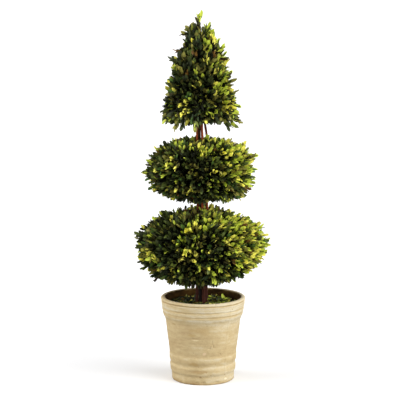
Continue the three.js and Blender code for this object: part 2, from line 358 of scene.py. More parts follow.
class Nodes:
    """Adds nodes to a material's or a group's tree and links them."""

    def __init__(self, tree):
        self.tree = tree

    def add(self, kind, settings=None, **inputs):
        """A node with its inputs fed by name: underscores are spaces, and i0 is the first."""
        node = self.tree.nodes.new(kind)
        for name, value in (settings or {}).items():
            setattr(node, name, value)
        for name, value in inputs.items():
            numbered = name[0] == "i" and name[1:].isdigit()
            self.feed(node.inputs[int(name[1:]) if numbered else name.replace("_", " ")], value)
        return node

    def feed(self, socket, value):
        """Links an output to a socket, or sets a constant on the socket itself."""
        if isinstance(value, bpy.types.NodeSocket):
            self.tree.links.new(value, socket)
        else:
            socket.default_value = value

    def math(self, operation, a, b=0.0, c=0.0):
        """One sum on values."""
        node = self.add("ShaderNodeMath", {"operation": operation}, i0=a, i1=b, i2=c)
        return node.outputs[0]

    def vector(self, operation, a, b=(0.0, 0.0, 0.0)):
        """One sum on vectors: its outputs, Vector and Value."""
        node = self.add("ShaderNodeVectorMath", {"operation": operation}, i0=a, i1=b)
        return node.outputs

    def mix(self, share, below, above):
        """One colour over another, by its share."""
        settings = {"data_type": "RGBA"}
        return self.add("ShaderNodeMix", settings, i0=share, i6=below, i7=above).outputs[2]

    def ramp(self, value, low, high):
        """From 0 at low to 1 at high, smoothly."""
        settings = {"interpolation_type": "SMOOTHSTEP"}
        node = self.add("ShaderNodeMapRange", settings, Value=value, From_Min=low, From_Max=high)
        return node.outputs["Result"]

    def place(self):
        """Where a point of the surface is on the object, in metres."""
        return self.add("ShaderNodeTexCoord").outputs["Object"]

    def group(self, tree, **inputs):
        """A shared effect placed in this tree, fed by name."""
        node = self.add("ShaderNodeGroup", {"node_tree": tree}, **inputs)
        return node.outputs

    def bump(self, height, distance):
        """The normal of a fine relief whose height goes from 0 to a distance in metres."""
        node = self.add("ShaderNodeBump", {}, Height=height, Distance=distance, Strength=1.0)
        return node.outputs["Normal"]


def new_material(name, roughness, specular=0.5):
    """A material: itself, its nodes, and its Principled shader with its plain values."""
    material = bpy.data.materials.new(name)
    material.use_nodes = True
    shader = material.node_tree.nodes["Principled BSDF"]
    shader.inputs["Roughness"].default_value = roughness
    shader.inputs["Specular IOR Level"].default_value = specular
    return material, Nodes(material.node_tree), shader


def dress(nodes, shader, colour, relief, depth):
    """Feeds a material's colour and its fine relief, as deep as given, to its shader."""
    nodes.feed(shader.inputs["Base Color"], colour)
    nodes.feed(shader.inputs["Normal"], nodes.bump(relief, depth))


def new_group(name, inputs, outputs):
    """A shader node group: its tree, its nodes, its input sockets and its output node."""
    tree = bpy.data.node_groups.new(name, "ShaderNodeTree")
    for socket, kind in inputs.items():
        tree.interface.new_socket(socket, in_out="INPUT", socket_type=kind)
    for socket, kind in outputs.items():
        tree.interface.new_socket(socket, in_out="OUTPUT", socket_type=kind)
    given = tree.nodes.new("NodeGroupInput").outputs
    result = tree.nodes.new("NodeGroupOutput").inputs
    return tree, Nodes(tree), given, result


def patches_group():
    """Uneven patches: where they lie, from 0 to 1, and one colour over another by that mask.

    Grain counts the patches in a metre along each axis, and the patches rise from Low to High.
    """
    tree, nodes, given, result = new_group(
        "uneven_patches",
        {
            "Place": "NodeSocketVector", "Grain": "NodeSocketVector",
            "Low": "NodeSocketFloat", "High": "NodeSocketFloat",
            "Below": "NodeSocketColor", "Above": "NodeSocketColor",
        },
        {"Colour": "NodeSocketColor", "Mask": "NodeSocketFloat"},
    )
    stretched = nodes.add("ShaderNodeMapping", Vector=given["Place"], Scale=given["Grain"])
    waves = nodes.add(
        "ShaderNodeTexNoise", Vector=stretched.outputs[0], Scale=1.0, Detail=4.0, Roughness=0.6
    )
    mask = nodes.ramp(waves.outputs[0], given["Low"], given["High"])
    nodes.feed(result["Colour"], nodes.mix(mask, given["Below"], given["Above"]))
    nodes.feed(result["Mask"], mask)
    return tree


def specks_group():
    """Small round specks, such as pits or grit: 1 in the middle of each, 0 between them.

    Count is how many cells there are in a metre, and Size how wide a speck is in its cell.
    """
    tree, nodes, given, result = new_group(
        "small_specks",
        {"Place": "NodeSocketVector", "Count": "NodeSocketFloat", "Size": "NodeSocketFloat"},
        {"Mask": "NodeSocketFloat"},
    )
    cells = nodes.add("ShaderNodeTexVoronoi", Vector=given["Place"], Scale=given["Count"])
    random = nodes.add("ShaderNodeSeparateColor", Color=cells.outputs["Color"]).outputs[0]
    size = nodes.math("MULTIPLY", random, given["Size"])
    half = nodes.math("MULTIPLY", size, 0.5)
    nodes.feed(result["Mask"], nodes.ramp(cells.outputs["Distance"], size, half))
    return tree


def mark_group():
    """One round mark with an uneven edge: 1 in its middle, 0 outside.

    Scale is one over the mark's half sizes, and Wobble, from 0 to 1, moves its edge.
    """
    tree, nodes, given, result = new_group(
        "round_mark",
        {
            "Place": "NodeSocketVector", "Middle": "NodeSocketVector",
            "Scale": "NodeSocketVector", "Wobble": "NodeSocketFloat",
        },
        {"Mask": "NodeSocketFloat"},
    )
    away = nodes.vector("SUBTRACT", given["Place"], given["Middle"])["Vector"]
    measured = nodes.vector("MULTIPLY", away, given["Scale"])["Vector"]
    length = nodes.vector("LENGTH", measured)["Value"]
    length = nodes.math("ADD", length, nodes.math("MULTIPLY_ADD", given["Wobble"], 0.7, -0.35))
    nodes.feed(result["Mask"], nodes.ramp(length, 1.2, 0.5))
    return tree


# ------------------------------------------------------------------ leaves


AGES = ("old", "young")
WAXY, DULL = (0.45, 0.25), (0.75, 0.1)  # roughness and specular of outer leaves and inner ones
PAINTED_SHADE_SLOT = 2 * len(TONES)  # the number of the inner leaves' material, which is painted shade
LEAF_POINTS = 3 * len(LEAF_ROWS) + 2
LEAF_FOOT_FACES = 4  # the faces of the blade's lower half, a shade darker than the rest: painted shade
LEAF_KEYS = ("base", "axis", "up", "length", "width", "fold", "bend")


def leaf_materials():
    """Thin waxy blades in plain tones: each tone's old one and young one, and the inner leaves'
    near-black one, which is painted shade.
    """
    looks = {
        f"leaf_{tone}_{age}": (spec[age], *WAXY) for tone, spec in TONES.items() for age in AGES
    }
    looks["leaf_inner"] = (PAINTED_SHADE_TONE, *DULL)
    materials = []
    for name, (colour, roughness, specular) in looks.items():
        material, _, shader = new_material(name, roughness, specular)
        shader.inputs["Base Color"].default_value = linear(colour)
        materials.append(material)
    return materials


def leaf_faces():
    """One leaf's faces: two triangles at its base, pairs of quads along it, two at its tip."""
    faces = [(0, 2, 1), (0, 3, 2)]
    for row in range(len(LEAF_ROWS) - 1):
        left = 3 * row + 1
        faces.append((left, left + 1, left + 4, left + 3))
        faces.append((left + 1, left + 2, left + 5, left + 4))
    tip = LEAF_POINTS - 1
    return faces + [(tip - 3, tip - 2, tip), (tip - 2, tip - 1, tip)]


def blades(base, axis, up, length, width, fold, bend):
    """The points of many leaves. Each has a base, rows of three across the blade, and a tip."""
    sides = unit(np.cross(axis, up))
    normals = unit(np.cross(sides, axis))
    along, side = [0.0], [0.0]
    for row, half_width in zip(LEAF_ROWS, LEAF_HALF_WIDTHS):
        along += [row, row, row]
        side += [-half_width, 0.0, half_width]
    along = np.array(along + [1.0])
    side = np.array(side + [0.0])
    half = width[:, None] / 2
    out = length[:, None] * along
    lift = fold[:, None] * half * np.abs(side) + bend[:, None] * length[:, None] * along**2
    return (
        base[:, None]
        + axis[:, None] * out[..., None]
        + sides[:, None] * (half * side)[..., None]
        + normals[:, None] * lift[..., None]
    ).reshape(-1, 3)


def crease_midribs(mesh):
    """Keeps the fold along each blade's middle sharp."""
    ends = np.empty(2 * len(mesh.edges), np.int32)
    mesh.edges.foreach_get("vertices", ends)
    place = ends.reshape(-1, 2) % LEAF_POINTS
    middle = (place % 3 == 2) | (place == 0) | (place == LEAF_POINTS - 1)
    mesh.edges.foreach_set("use_edge_sharp", middle.all(axis=1))


def leaf_piece(name, leaves, materials):
    """One piece of many leaves. Each leaf has its tone, and a darker one towards its foot, which is
    painted shade.
    """
    count = len(leaves["base"])
    points = blades(*(leaves[key] for key in LEAF_KEYS))
    faces = leaf_faces()
    corners = np.concatenate([np.array(face) for face in faces])
    sizes = np.tile([len(face) for face in faces], count)
    corners = LEAF_POINTS * np.arange(count)[:, None] + corners
    shades = np.repeat(leaves["shade"][:, None], len(faces), axis=1)
    shades[:, :LEAF_FOOT_FACES] = leaves["foot_painted_shade"][:, None]
    piece = mesh_object(name, points, corners.ravel(), sizes, materials, shades.ravel())
    crease_midribs(piece.data)
    return piece


def leaves_on_sprigs(sprigs, rng):
    """Opposite pairs of leaves down each sprig, each pair about a quarter turn from the last."""
    buds, axes, tones = sprigs["bud"], sprigs["axis"], sprigs["tone"]
    count = len(buds)
    sides = across(axes)
    fronts = np.cross(axes, sides)
    spin = rng.uniform(0, 2 * math.pi, count)
    young_pairs = rng.binomial(MOST_YOUNG_PAIRS, sprigs["young"])
    young, old = LEAF_LENGTH
    grown = {key: [] for key in (*LEAF_KEYS, "shade", "foot_painted_shade", "kept")}
    for pair in range(PAIRS):
        age = pair / (PAIRS - 1)
        for half_turn in (0, 1):
            turn = spin + (pair / 2 + half_turn) * math.pi + rng.normal(0, TURN_WOBBLE, count)
            out = sides * np.cos(turn)[:, None] + fronts * np.sin(turn)[:, None]
            angle = np.interp(pair, (0, INNER_PAIR, PAIRS - 1), LEAF_ANGLES)
            angle = np.radians(angle) * sprigs["spread"]
            angle = (angle + rng.normal(0, ANGLE_WOBBLE, count))[:, None]
            axis = axes * np.cos(angle) + out * np.sin(angle)
            upper = axes * np.sin(angle) - out * np.cos(angle)
            roll = rng.normal(0, ROLL_WOBBLE, (count, 1))
            grown_up = min(1, FIRST_GROWTH + age)
            length = (young + (old - young) * grown_up) * sprigs["size"]
            length *= rng.uniform(*LEAF_LENGTHS, count)
            odd = rng.random(count) < ODD_AGES
            youthful = (pair < young_pairs) != odd
            other = tones[rng.permutation(count)]
            tone = np.where(rng.random(count) < ODD_TONES, other, tones)
            # the inner pairs take the near-black inner tone: painted shade
            inner = (pair >= INNER_PAIR) & ~odd
            # a leaf's foot takes a darker tone than the rest of it: painted shade
            foot = np.where(youthful, 2 * tone, PAINTED_SHADE_SLOT)
            grown["kept"].append(pair < sprigs["pairs"])
            grown["shade"].append(np.where(inner, PAINTED_SHADE_SLOT, 2 * tone + youthful))
            grown["foot_painted_shade"].append(np.where(inner, PAINTED_SHADE_SLOT, foot))
            grown["base"].append(buds - axes * pair * PAIR_STEP)
            grown["axis"].append(axis)
            grown["up"].append(upper * np.cos(roll) + np.cross(axis, upper) * np.sin(roll))
            grown["length"].append(length)
            grown["width"].append(length * LEAF_SLIMNESS * rng.uniform(*LEAF_WIDTHS, count))
            grown["fold"].append(rng.uniform(*LEAF_FOLDS, count))
            grown["bend"].append(rng.normal(*LEAF_BENDS, count))
    leaves = {key: np.concatenate(parts) for key, parts in grown.items()}
    kept = leaves.pop("kept")
    return {key: values[kept] for key, values in leaves.items()}


# ------------------------------------------------------------------ the branching rule


def clipped_surface(node, rng):
    """A mass's surface tree, and random points on its outside with the surface's directions."""
    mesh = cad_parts[node].data
    mesh.calc_loop_triangles()
    places = node_points(node)
    triangles = np.array([t.vertices for t in mesh.loop_triangles])
    a, b, c = (places[triangles[:, i]] for i in range(3))
    normals = np.cross(b - a, c - a)
    areas = np.linalg.norm(normals, axis=1)
    chosen = rng.choice(len(triangles), SURFACE_POINTS, p=areas / areas.sum())
    s, t = rng.random((2, SURFACE_POINTS, 1))
    fold = s + t > 1
    s, t = np.where(fold, 1 - s, s), np.where(fold, 1 - t, t)
    points = a[chosen] + s * (b - a)[chosen] + t * (c - a)[chosen]
    normals = unit(normals)[chosen]
    surface = BVHTree.FromPolygons([Vector(p) for p in places], triangles.tolist())
    far = 0.5
    reached = [
        surface.ray_cast(Vector(point + far * normal), Vector(-normal))[3]
        for point, normal in zip(points, normals)
    ]
    outside = np.abs(np.array(reached, float) - far) < 0.1 * MM
    return surface, points[outside], normals[outside]


def scattered(points, spacing):
    """Keeps, in order, each point that lies at least the spacing from those kept before it."""
    kept, cells = [], {}
    keys = np.floor(points / spacing).astype(int)
    near = [(i, j, k) for i in (-1, 0, 1) for j in (-1, 0, 1) for k in (-1, 0, 1)]
    for index, (point, key) in enumerate(zip(points, map(tuple, keys))):
        around = [
            other
            for i, j, k in near
            for other in cells.get((key[0] + i, key[1] + j, key[2] + k), ())
        ]
        if all(np.dot(point - other, point - other) >= spacing**2 for other in around):
            cells.setdefault(key, []).append(point)
            kept.append(index)
    return np.array(kept)


def spot_on(heart, out, height, facing):
    """A place on a mass, from how far it is from the mass's axis, its height and its facing."""
    turn = math.radians(facing)
    return np.array([heart[0] + out * math.cos(turn), heart[1] + out * math.sin(turn), height])


def in_thin_places(node, points, heart):
    """Which points lie in one of the mass's thin places."""
    thin = np.zeros(len(points), bool)
    for out, height, facing, reach in THIN_PLACES.get(node, ()):
        thin |= np.linalg.norm(points - spot_on(heart, out, height, facing), axis=1) < reach
    return thin


def clipped_deeper(node, points, heart):
    """How much deeper than elsewhere the shears cut at each point."""
    deeper = np.zeros(len(points))
    for out, height, facing, reach, depth in CLIPPED_PLACES[node]:
        away = np.linalg.norm(points - spot_on(heart, out, height, facing), axis=1)
        deeper += depth * np.exp(-((away / reach) ** 2))
    return deeper


def limb_roots(targets, stems, rng):
    """A root on one of the stems for each bough, a little lower than where the bough is going."""
    roots = []
    for target in targets:
        line = stems[rng.integers(len(stems))]
        reach = np.hypot(target[0] - line[0, 0], target[1] - line[0, 1])
        height = np.clip(target[2] - BOUGH_RISE * reach, line[0, 2], line[-1, 2])
        roots.append([np.interp(height, line[:, 2], line[:, i]) for i in range(3)])
    return np.array(roots)


def sprig_axes(points, normals, heart, spec, rng):
    """Which way each sprig grows: out from its mass's heart, turned up and towards the sun."""
    low, high = points[:, 2].min(), points[:, 2].max()
    rise = ((points[:, 2] - low) / (high - low))[:, None]
    turn = spec["lift"][0] + (spec["lift"][1] - spec["lift"][0]) * rise
    wander = rng.normal(0, SPRIG_WANDER, points.shape)
    lean = spec["lean"] * np.clip(normals @ SUN_SIDE, 0, 1)[:, None] * SUN_SIDE * (1, 1, 0)
    out = FROM_HEART * unit(points - heart) + (1 - FROM_HEART) * normals
    return unit(out + turn * UP + lean + wander)


def bud_depths(points, normals, rng):
    """How far each sprig's last bud lies under the clipped surface: uneven, with hollows."""
    uneven = rng.normal(0, BUD_UNEVEN, len(points))
    deep, wide = HOLLOWS
    hollows = np.array([rough(*(point / wide)) for point in points])
    level = np.abs(normals[:, 2]) ** 6
    even = 1 - LEVEL_EVENNESS * level
    return BUD_DEPTH + (uneven + deep * hollows) * even + LEVEL_DEPTH * level


def pairs_inside(surface, buds, axes):
    """How many of each sprig's pairs grow inside its mass, no shallower than its last bud."""
    counts = []
    for bud, axis in zip(buds, axes):
        depths = []
        for pair in range(PAIRS):
            place = Vector(bud - axis * pair * PAIR_STEP)
            near, outward, _, _ = surface.find_nearest(place)
            depths.append((near - place).dot(outward))
        shallow = [pair for pair in range(1, PAIRS) if depths[pair] < depths[0] - SHALLOWER]
        counts.append(shallow[0] if shallow else PAIRS)
    return np.array(counts)


def dealt_tones(sunny, rng):
    """A tone for each sprig, by seeded chance: more young colour on the sunny side, painted light.
    """
    shade = np.array([spec["shade"] for spec in TONES.values()])
    sun = np.array([spec["sun"] for spec in TONES.values()])
    share = sunny[:, None]
    chance = np.cumsum(shade / shade.sum() * (1 - share) + sun / sun.sum() * share, axis=1)
    return (rng.random((len(sunny), 1)) > chance).sum(axis=1).clip(0, len(TONES) - 1)


def placed_sprigs(buds, axes, tones, habit):
    """Sprigs given one by one, by last bud, direction and tone, with one habit for them all."""
    return {
        "bud": np.array(buds),
        "axis": np.array(axes),
        "tone": np.array([list(TONES).index(tone) for tone in tones]),
        **{key: np.full(len(buds), value) for key, value in habit.items()},
    }


def stray_sprigs(node, surface, heart):
    """The mass's sprigs that the shears missed."""
    buds, axes, tones = [], [], []
    for height, facing, out, tilt, tone in STRAY_SPRIGS[node]:
        away = spot_on((0.0, 0.0), 1.0, 0.0, facing)
        axis = unit(away + tilt * UP)
        start = np.array([heart[0], heart[1], height]) + away
        hit = surface.ray_cast(Vector(start), Vector(-away))[0]
        buds.append(np.array(hit) + (out - BUD_DEPTH) * axis)
        axes.append(axis)
        tones.append(tone)
    return placed_sprigs(buds, axes, tones, STRAY_HABIT)


def leader(node):
    """The one upright sprig at a mass's very tip."""
    places = node_points(node)
    top = places[places[:, 2].argmax()]
    reach = LEAF_LENGTH[0] * LEADER_HABIT["size"] * LEADER_REACH
    return placed_sprigs([top + LEADER_PLACE - reach * UP], [UP], ["lime"], LEADER_HABIT)


def grow_sprigs(node, spec, surface, ends, facing, heart, rng):
    """A mass's sprigs, from where they would end on its clipped surface and the way it faces."""
    strength, wide = CLUMPS
    clumps = strength * np.array([rough(*(end / wide + 40)) for end in ends])
    # brighter tones and more young leaves towards the sun and at the far edge are painted light
    towards_sun = facing @ SUN_SIDE
    sunny = np.clip(SUNNY_BASE + SUNNY_RISE * spec["sunny"] * towards_sun + clumps, 0, 1)
    sunny += LEE_SIDE * np.clip(-towards_sun - LEE_FROM, 0, 1)
    axes = sprig_axes(ends, facing, heart, spec, rng)
    depths = spec["leaf"] * bud_depths(ends, facing, rng) + clipped_deeper(node, ends, heart)
    buds = ends - depths[:, None] * axes
    sprigs = {
        "bud": buds,
        "axis": axes,
        "tone": dealt_tones(sunny, rng),
        "young": YOUNG_BASE + YOUNG_RISE * sunny,
        "size": spec["leaf"] * rng.uniform(*SPRIG_SIZES, len(ends)),
        "spread": rng.uniform(*SPRIG_SPREADS, len(ends)),
        "pairs": pairs_inside(surface, buds, axes),
    }
    extra = [stray_sprigs(node, surface, heart)]
    if node == "cone":
        extra.append(leader(node))
    return {
        key: np.concatenate([value, *(more[key] for more in extra)])
        for key, value in sprigs.items()
    }


def grow_limbs(boughs, twigs, sprigs, stems, rng):
    """The starts and ends of the limbs by kind, from the stems out to the sprigs' last buds."""
    roots = limb_roots(boughs, stems, rng)
    forks = roots + BOUGH_SHARE * (boughs - roots)
    bough = nearest(twigs, boughs)
    along = rng.uniform(0, TWIG_BACK, (len(twigs), 1))
    twig_starts = forks[bough] - along * (forks - roots)[bough]
    twig_ends = twig_starts + TWIG_SHARE * (twigs - twig_starts)
    twig = nearest(sprigs["bud"], twigs)
    along = rng.uniform(0, SPRIG_BACK, (len(twig), 1))
    sprig_starts = twig_ends[twig] - along * (twig_ends - twig_starts)[twig]
    lowest_pairs = sprigs["bud"] - PAIRS * PAIR_STEP * sprigs["axis"]
    return {
        "boughs": (roots, forks),
        "twigs": (twig_starts, twig_ends),
        "sprigs": (sprig_starts, lowest_pairs),
        "shoots": (lowest_pairs, sprigs["bud"]),
    }


def branching(node, spec, stems, rng):
    """Boughs grow from the stems, twigs from the boughs, and sprigs from the twigs.

    Each level is spread evenly over the clipped surface, and each limb grows from the nearest
    one of the level before. Returns the limbs' starts and ends, by kind, and the sprigs.
    """
    surface, points, normals = clipped_surface(node, rng)
    low, high = (np.array(corner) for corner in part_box(node))
    heart = (low + high) / 2
    full = ~in_thin_places(node, points, heart)
    points, normals = points[full], normals[full]
    boughs, twigs, ends = (
        scattered(points, spec[level]) for level in ("boughs", "twigs", "sprigs")
    )
    sprigs = grow_sprigs(node, spec, surface, points[ends], normals[ends], heart, rng)
    inside = [line[(line[:, 2] > low[2]) & (line[:, 2] < high[2])] for line in stems]
    inside = [line for line in inside if len(line) > 1]
    return grow_limbs(points[boughs], points[twigs], sprigs, inside, rng), sprigs


# Each kind of limb: its sides, its bow over its length, and its radius at both ends in mm.
LIMB_KINDS = {
    "boughs": (6, 0.06, 2.4, 1.5),
    "twigs": (5, 0.06, 1.3, 0.8),
    "sprigs": (3, 0.08, 0.8, 0.6),
    "shoots": (3, 0.0, 0.6, 0.35),
}
ROD_STEPS = 3


def rods(name, kind, starts, ends, material, rng):
    """Every limb of one kind as a thin tapering rod, with a slight bow of its own."""
    sides, bowing, *radii = LIMB_KINDS[kind]
    wide, narrow = (radius * MM for radius in radii)
    run = ends - starts
    side = across(unit(run))
    front = np.cross(unit(run), side)
    bow = rng.normal(0, bowing, (2, len(run), 1)) * np.linalg.norm(run, axis=1, keepdims=True)
    rings = []
    for share in np.linspace(0, 1, ROD_STEPS):
        centre = starts + run * share + (bow[0] * side + bow[1] * front) * math.sin(math.pi * share)
        radius = wide + (narrow - wide) * share
        for angle in full_turn(sides):
            rings.append(centre + radius * (math.cos(angle) * side + math.sin(angle) * front))
    points = np.stack(rings, axis=1).reshape(-1, 3)
    corners, sizes = tube_faces(ROD_STEPS, sides)
    corners = ROD_STEPS * sides * np.arange(len(run))[:, None] + corners
    return mesh_object(name, points, corners.ravel(), np.tile(sizes, len(run)), [material])


MOST_TRIANGLES = 190000  # in one piece of leaves: a mass that has more becomes several pieces
LEAF_TRIANGLES = sum(len(face) - 2 for face in leaf_faces())


def grow_mass(node, spec, stems, leaf_tones, bark, rng):
    """Replaces one mass of foliage with its boughs, twigs, sprigs and leaves."""
    limbs, sprigs = branching(node, spec, stems, rng)
    leaves = leaves_on_sprigs(sprigs, rng)
    parts = math.ceil(LEAF_TRIANGLES * len(leaves["base"]) / MOST_TRIANGLES)
    dealt = np.arange(len(leaves["base"])) % parts
    for part in range(parts):
        share = {key: value[dealt == part] for key, value in leaves.items()}
        piece = leaf_piece(f"{node}_leaves_{part + 1}", share, leaf_tones)
        settle(piece, "foliage", node)
    for kind, (starts, ends) in limbs.items():
        settle(rods(f"{node}_{kind}", kind, starts, ends, bark, rng), "bark", node)


# ------------------------------------------------------------------ stems

STEM_NODES = ("main_stem", "side_stem_1", "side_stem_2", "side_stem_3", "side_stem_4")
INNER_STEMS_PAINTED_DARK = ("main_stem", "side_stem_4")  # the two inner ones, with bark painted darker as shade
STEM_SIDES, STEM_STEP = 20, 2.2 * MM
STEM_KNOTS = 14
KNOT_SWELLING, KNOT_REACH = 0.28, 3 * MM
# The bark's ridges: how deep against the stem's radius, how close round it, and how many in a
# metre along it.
BARK_WAVES = ((0.12, 3, 60), (0.06, 7, 400))
STEM_WANDER = 0.35 * MM
STEM_EVENING = 7  # steps on each side over which a stem's course is evened out


def stem_line(node):
    """The middle line and radius of a stem's solid: rows of x, y, z, radius, from its foot up."""
    points = node_points(node)
    rows = []
    for height in np.unique(points[:, 2].round(4)):
        ring = points[np.abs(points[:, 2] - height) < 0.5 * MM]
        centre = (ring.min(axis=0) + ring.max(axis=0)) / 2
        radius = np.linalg.norm(ring - centre, axis=1).max()
        rows.append([*centre[:2], height, radius])
    return np.array(rows)


def smooth_course(heights, knots, values):
    """A stem's course between its solid's rings, with the corners evened out."""
    course = np.interp(heights, knots, values)
    spread = np.ones(2 * STEM_EVENING + 1) / (2 * STEM_EVENING + 1)
    ends = np.pad(course, STEM_EVENING, mode="reflect", reflect_type="odd")
    return np.convolve(ends, spread, mode="valid")


def grow_stem(node, bark, rng):
    """A stem with its bark's relief: shallow ridges that wander up it, and swollen old knots."""
    line = stem_line(node)
    heights = np.arange(line[0, 2], line[-1, 2], STEM_STEP)
    centre = np.stack([smooth_course(heights, line[:, 2], line[:, i]) for i in range(2)], axis=1)
    radius = np.interp(heights, line[:, 2], line[:, 3])
    angles = full_turn(STEM_SIDES)
    phase = rng.uniform(0, 50)
    relief = sum(
        deep * np.array([
            [rough(turns * math.cos(a), turns * math.sin(a), z * steps + phase) for a in angles]
            for z in heights
        ])
        for deep, turns, steps in BARK_WAVES
    )
    for knot in rng.uniform(heights[0], heights[-1], STEM_KNOTS):
        facing = rng.uniform(0, 2 * math.pi)
        near = np.exp(-(((heights - knot) / KNOT_REACH) ** 2))[:, None]
        relief += KNOT_SWELLING * near * np.clip(np.cos(angles - facing), 0, 1) ** 4
    wander = STEM_WANDER * np.sin(heights[:, None] * (90, 70) + phase)
    rings = round_rings(radius[:, None] * (1 + relief), heights)
    rings[..., :2] += (centre + wander)[:, None]
    piece = tube_object(node.replace("stem", "stem_bark"), rings, [bark])
    settle(piece, "bark", node)


# Each bark's colour, and the darker one in its streaks.
BARKS = {
    "stem_bark": ("c05a24", "6a2a10"),
    # the inner stems' darker bark is painted shade
    "shaded_stem_bark": ("5a2c16", "24120a"),
    "twig_bark": ("4a3a22", "1e160e"),
}
BARK_SHADE_HEIGHTS = (0.20, 0.38)  # the heights from which and up to which the painted shade near the soil fades from the bark, in metres
# how strongly the bark is painted darker near the soil, and in what tone: painted shade
BARK_SHADE_SHARE, BARK_SHADE_TONE = 0.8, "140c08"


def bark_material(name, colour, dark, patches, specks):
    """Thin smooth bark, streaked along the stem and dotted with pores, painted darker near the soil
    as shade.
    """
    material, nodes, shader = new_material(name, 0.7, 0.25)
    place = nodes.place()
    streaks = nodes.group(
        patches, Place=place, Grain=(500, 500, 40), Low=0.38, High=0.62,
        Below=linear(dark), Above=linear(colour),
    )
    blotches = nodes.group(
        patches, Place=place, Grain=(60, 60, 25), Low=0.35, High=0.65,
        Below=linear(dark), Above=streaks["Colour"],
    )
    pores = nodes.group(specks, Place=place, Count=260, Size=0.5)["Mask"]
    level = nodes.add("ShaderNodeSeparateXYZ", Vector=place).outputs["Z"]
    # the bark is painted darker towards the soil: painted shade
    dry = nodes.ramp(level, *BARK_SHADE_HEIGHTS)
    bark_in_painted_shade = nodes.mix(BARK_SHADE_SHARE, blotches["Colour"], linear(BARK_SHADE_TONE))
    colour = nodes.mix(dry, bark_in_painted_shade, blotches["Colour"])
    dress(nodes, shader, colour, nodes.math("SUBTRACT", streaks["Mask"], pores), 0.4 * MM)
    return material


# ------------------------------------------------------------------ the pot


def ease(value, start, end):
    """From 0 at the start to 1 at the end, smoothly."""
    t = np.clip((value - start) / (end - start), 0, 1)
    return t * t * (3 - 2 * t)


def rings_round_wall(z):
    """How far the ridges stand out from the wall, less how deep the grooves are, at a height."""
    out = 0.0
    for start, full, fall, end, size in POT_RIDGES:
        out += size * ease(z, start, full) * ease(z, end, fall)
    for middle, size, half in POT_GROOVES:
        out -= size * (1 - ease(abs(z - middle), 0, half))
    return out


def pot_outline():
    """The pot's outline from the middle of its underside, up the wall, over the lip and down."""
    foot_radius = POT_WALL[0][1]
    edge = POT_FOOT_ROUNDING
    underside = [(r, 0.0) for r in np.linspace(2, foot_radius - edge, 12)]
    turn = np.radians(np.linspace(-75, 0, 5))
    foot = list(zip(foot_radius - edge + edge * np.cos(turn), edge + edge * np.sin(turn)))
    z = np.arange(edge + POT_STEP, POT_WALL[-1][0], POT_STEP)
    r = np.interp(z, [point[0] for point in POT_WALL], [point[1] for point in POT_WALL])
    over = np.radians(np.linspace(15, 170, 12))
    middle, half = (r[-1] + POT_MOUTH) / 2, (r[-1] - POT_MOUTH) / 2
    lip = list(zip(middle + half * np.cos(over), POT_HEIGHT + POT_LIP * (np.sin(over) - 1)))
    down = np.arange(POT_HEIGHT - POT_LIP, POT_INSIDE_FOOT, -2.0)
    inside = list(zip(POT_MOUTH - POT_INSIDE_SLOPE * (POT_HEIGHT - POT_LIP - down), down))
    outline = np.array(underside + foot + list(zip(r, z)) + lip + inside)
    return outline, len(inside) + len(lip) // 4


def clay_relief(angle, z, pits):
    """How far the rings, hand work and age push the clay out, in mm, at a point of the wall."""
    x, y = math.cos(angle), math.sin(angle)
    waver = 0.8 * rough(x * 1.5, y * 1.5, 4) + 0.3 * rough(x * 5, y * 5, 6)
    worn = 1 + 0.5 * rough(x * 2.4, y * 2.4, z * 0.06 + 30)
    out = worn * rings_round_wall(z + waver)
    out += 0.22 * rough(x * 0.9, y * 0.9, z * 0.14)
    out += 0.7 * rough(x * 1.3 + 7, y * 1.3, z * 0.018)
    out += 0.25 * rough(x * 5, y * 5, z * 0.06 + 9)
    for facing, height, wide, deep in pits:
        apart = math.hypot((angle - facing) * FOOT_RADIUS, z - height) / wide
        if apart < 1:
            out -= deep * (1 - apart**2)
    spot = Vector((angle * WALL_RADIUS, z))
    for ends in POT_CRACKS:
        ends = [Vector((math.radians(facing) * WALL_RADIUS, height)) for facing, height in ends]
        foot, share = intersect_point_line(spot, *ends)
        if 0 <= share <= 1:
            apart = (spot - foot.to_2d()).length / CRACK_WIDTH
            out -= CRACK_DEPTH * math.exp(-(apart**2))
    seam = (angle - SEAM_FACING) * WALL_RADIUS - 1.5 * rough(0, 0, z * 0.05)
    return out + SEAM_HEIGHT * math.exp(-((seam / SEAM_WIDTH) ** 2))


def wall_pits(rng):
    """Pits and chips in the clay, most of them near the foot: facing, height, width, depth."""
    pits = []
    for _ in range(POT_PITS):
        height = 4 + 200 * rng.random() ** 2.5
        facing = rng.uniform(0, 2 * math.pi)
        pits.append((facing, height, rng.uniform(1.6, 3.4), rng.uniform(0.3, 1)))
    for _ in range(POT_CHIPS):
        facing = rng.uniform(0, 2 * math.pi)
        pits.append((facing, rng.uniform(1, 5), rng.uniform(4, 9), 1.6))
    return pits


def make_pot(clay, stained_and_shaded, rng):
    """The clay pot, turned by hand and worn, in place of its plain solid."""
    outline, inside = pot_outline()
    outside = len(outline) - inside
    pits = wall_pits(rng)
    radii = np.tile(outline[:, :1], POT_SIDES)
    for row, (r, z) in enumerate(outline[:outside]):
        near = [pit for pit in pits if abs(pit[1] - z) < pit[2]]
        share = min(1.0, z / POT_FADE) * (1 - ease(z, POT_WALL[-1][0], POT_HEIGHT))
        radii[row] = [r + share * clay_relief(a, z, near) for a in full_turn(POT_SIDES)]
    rings = round_rings(radii, outline[:, 1]) * MM
    shades = np.arange(len(outline) - 1) >= outside - 1
    piece = tube_object("clay_pot", rings, [clay, stained_and_shaded], shades.astype(int))
    settle(piece, "clay", "pot")


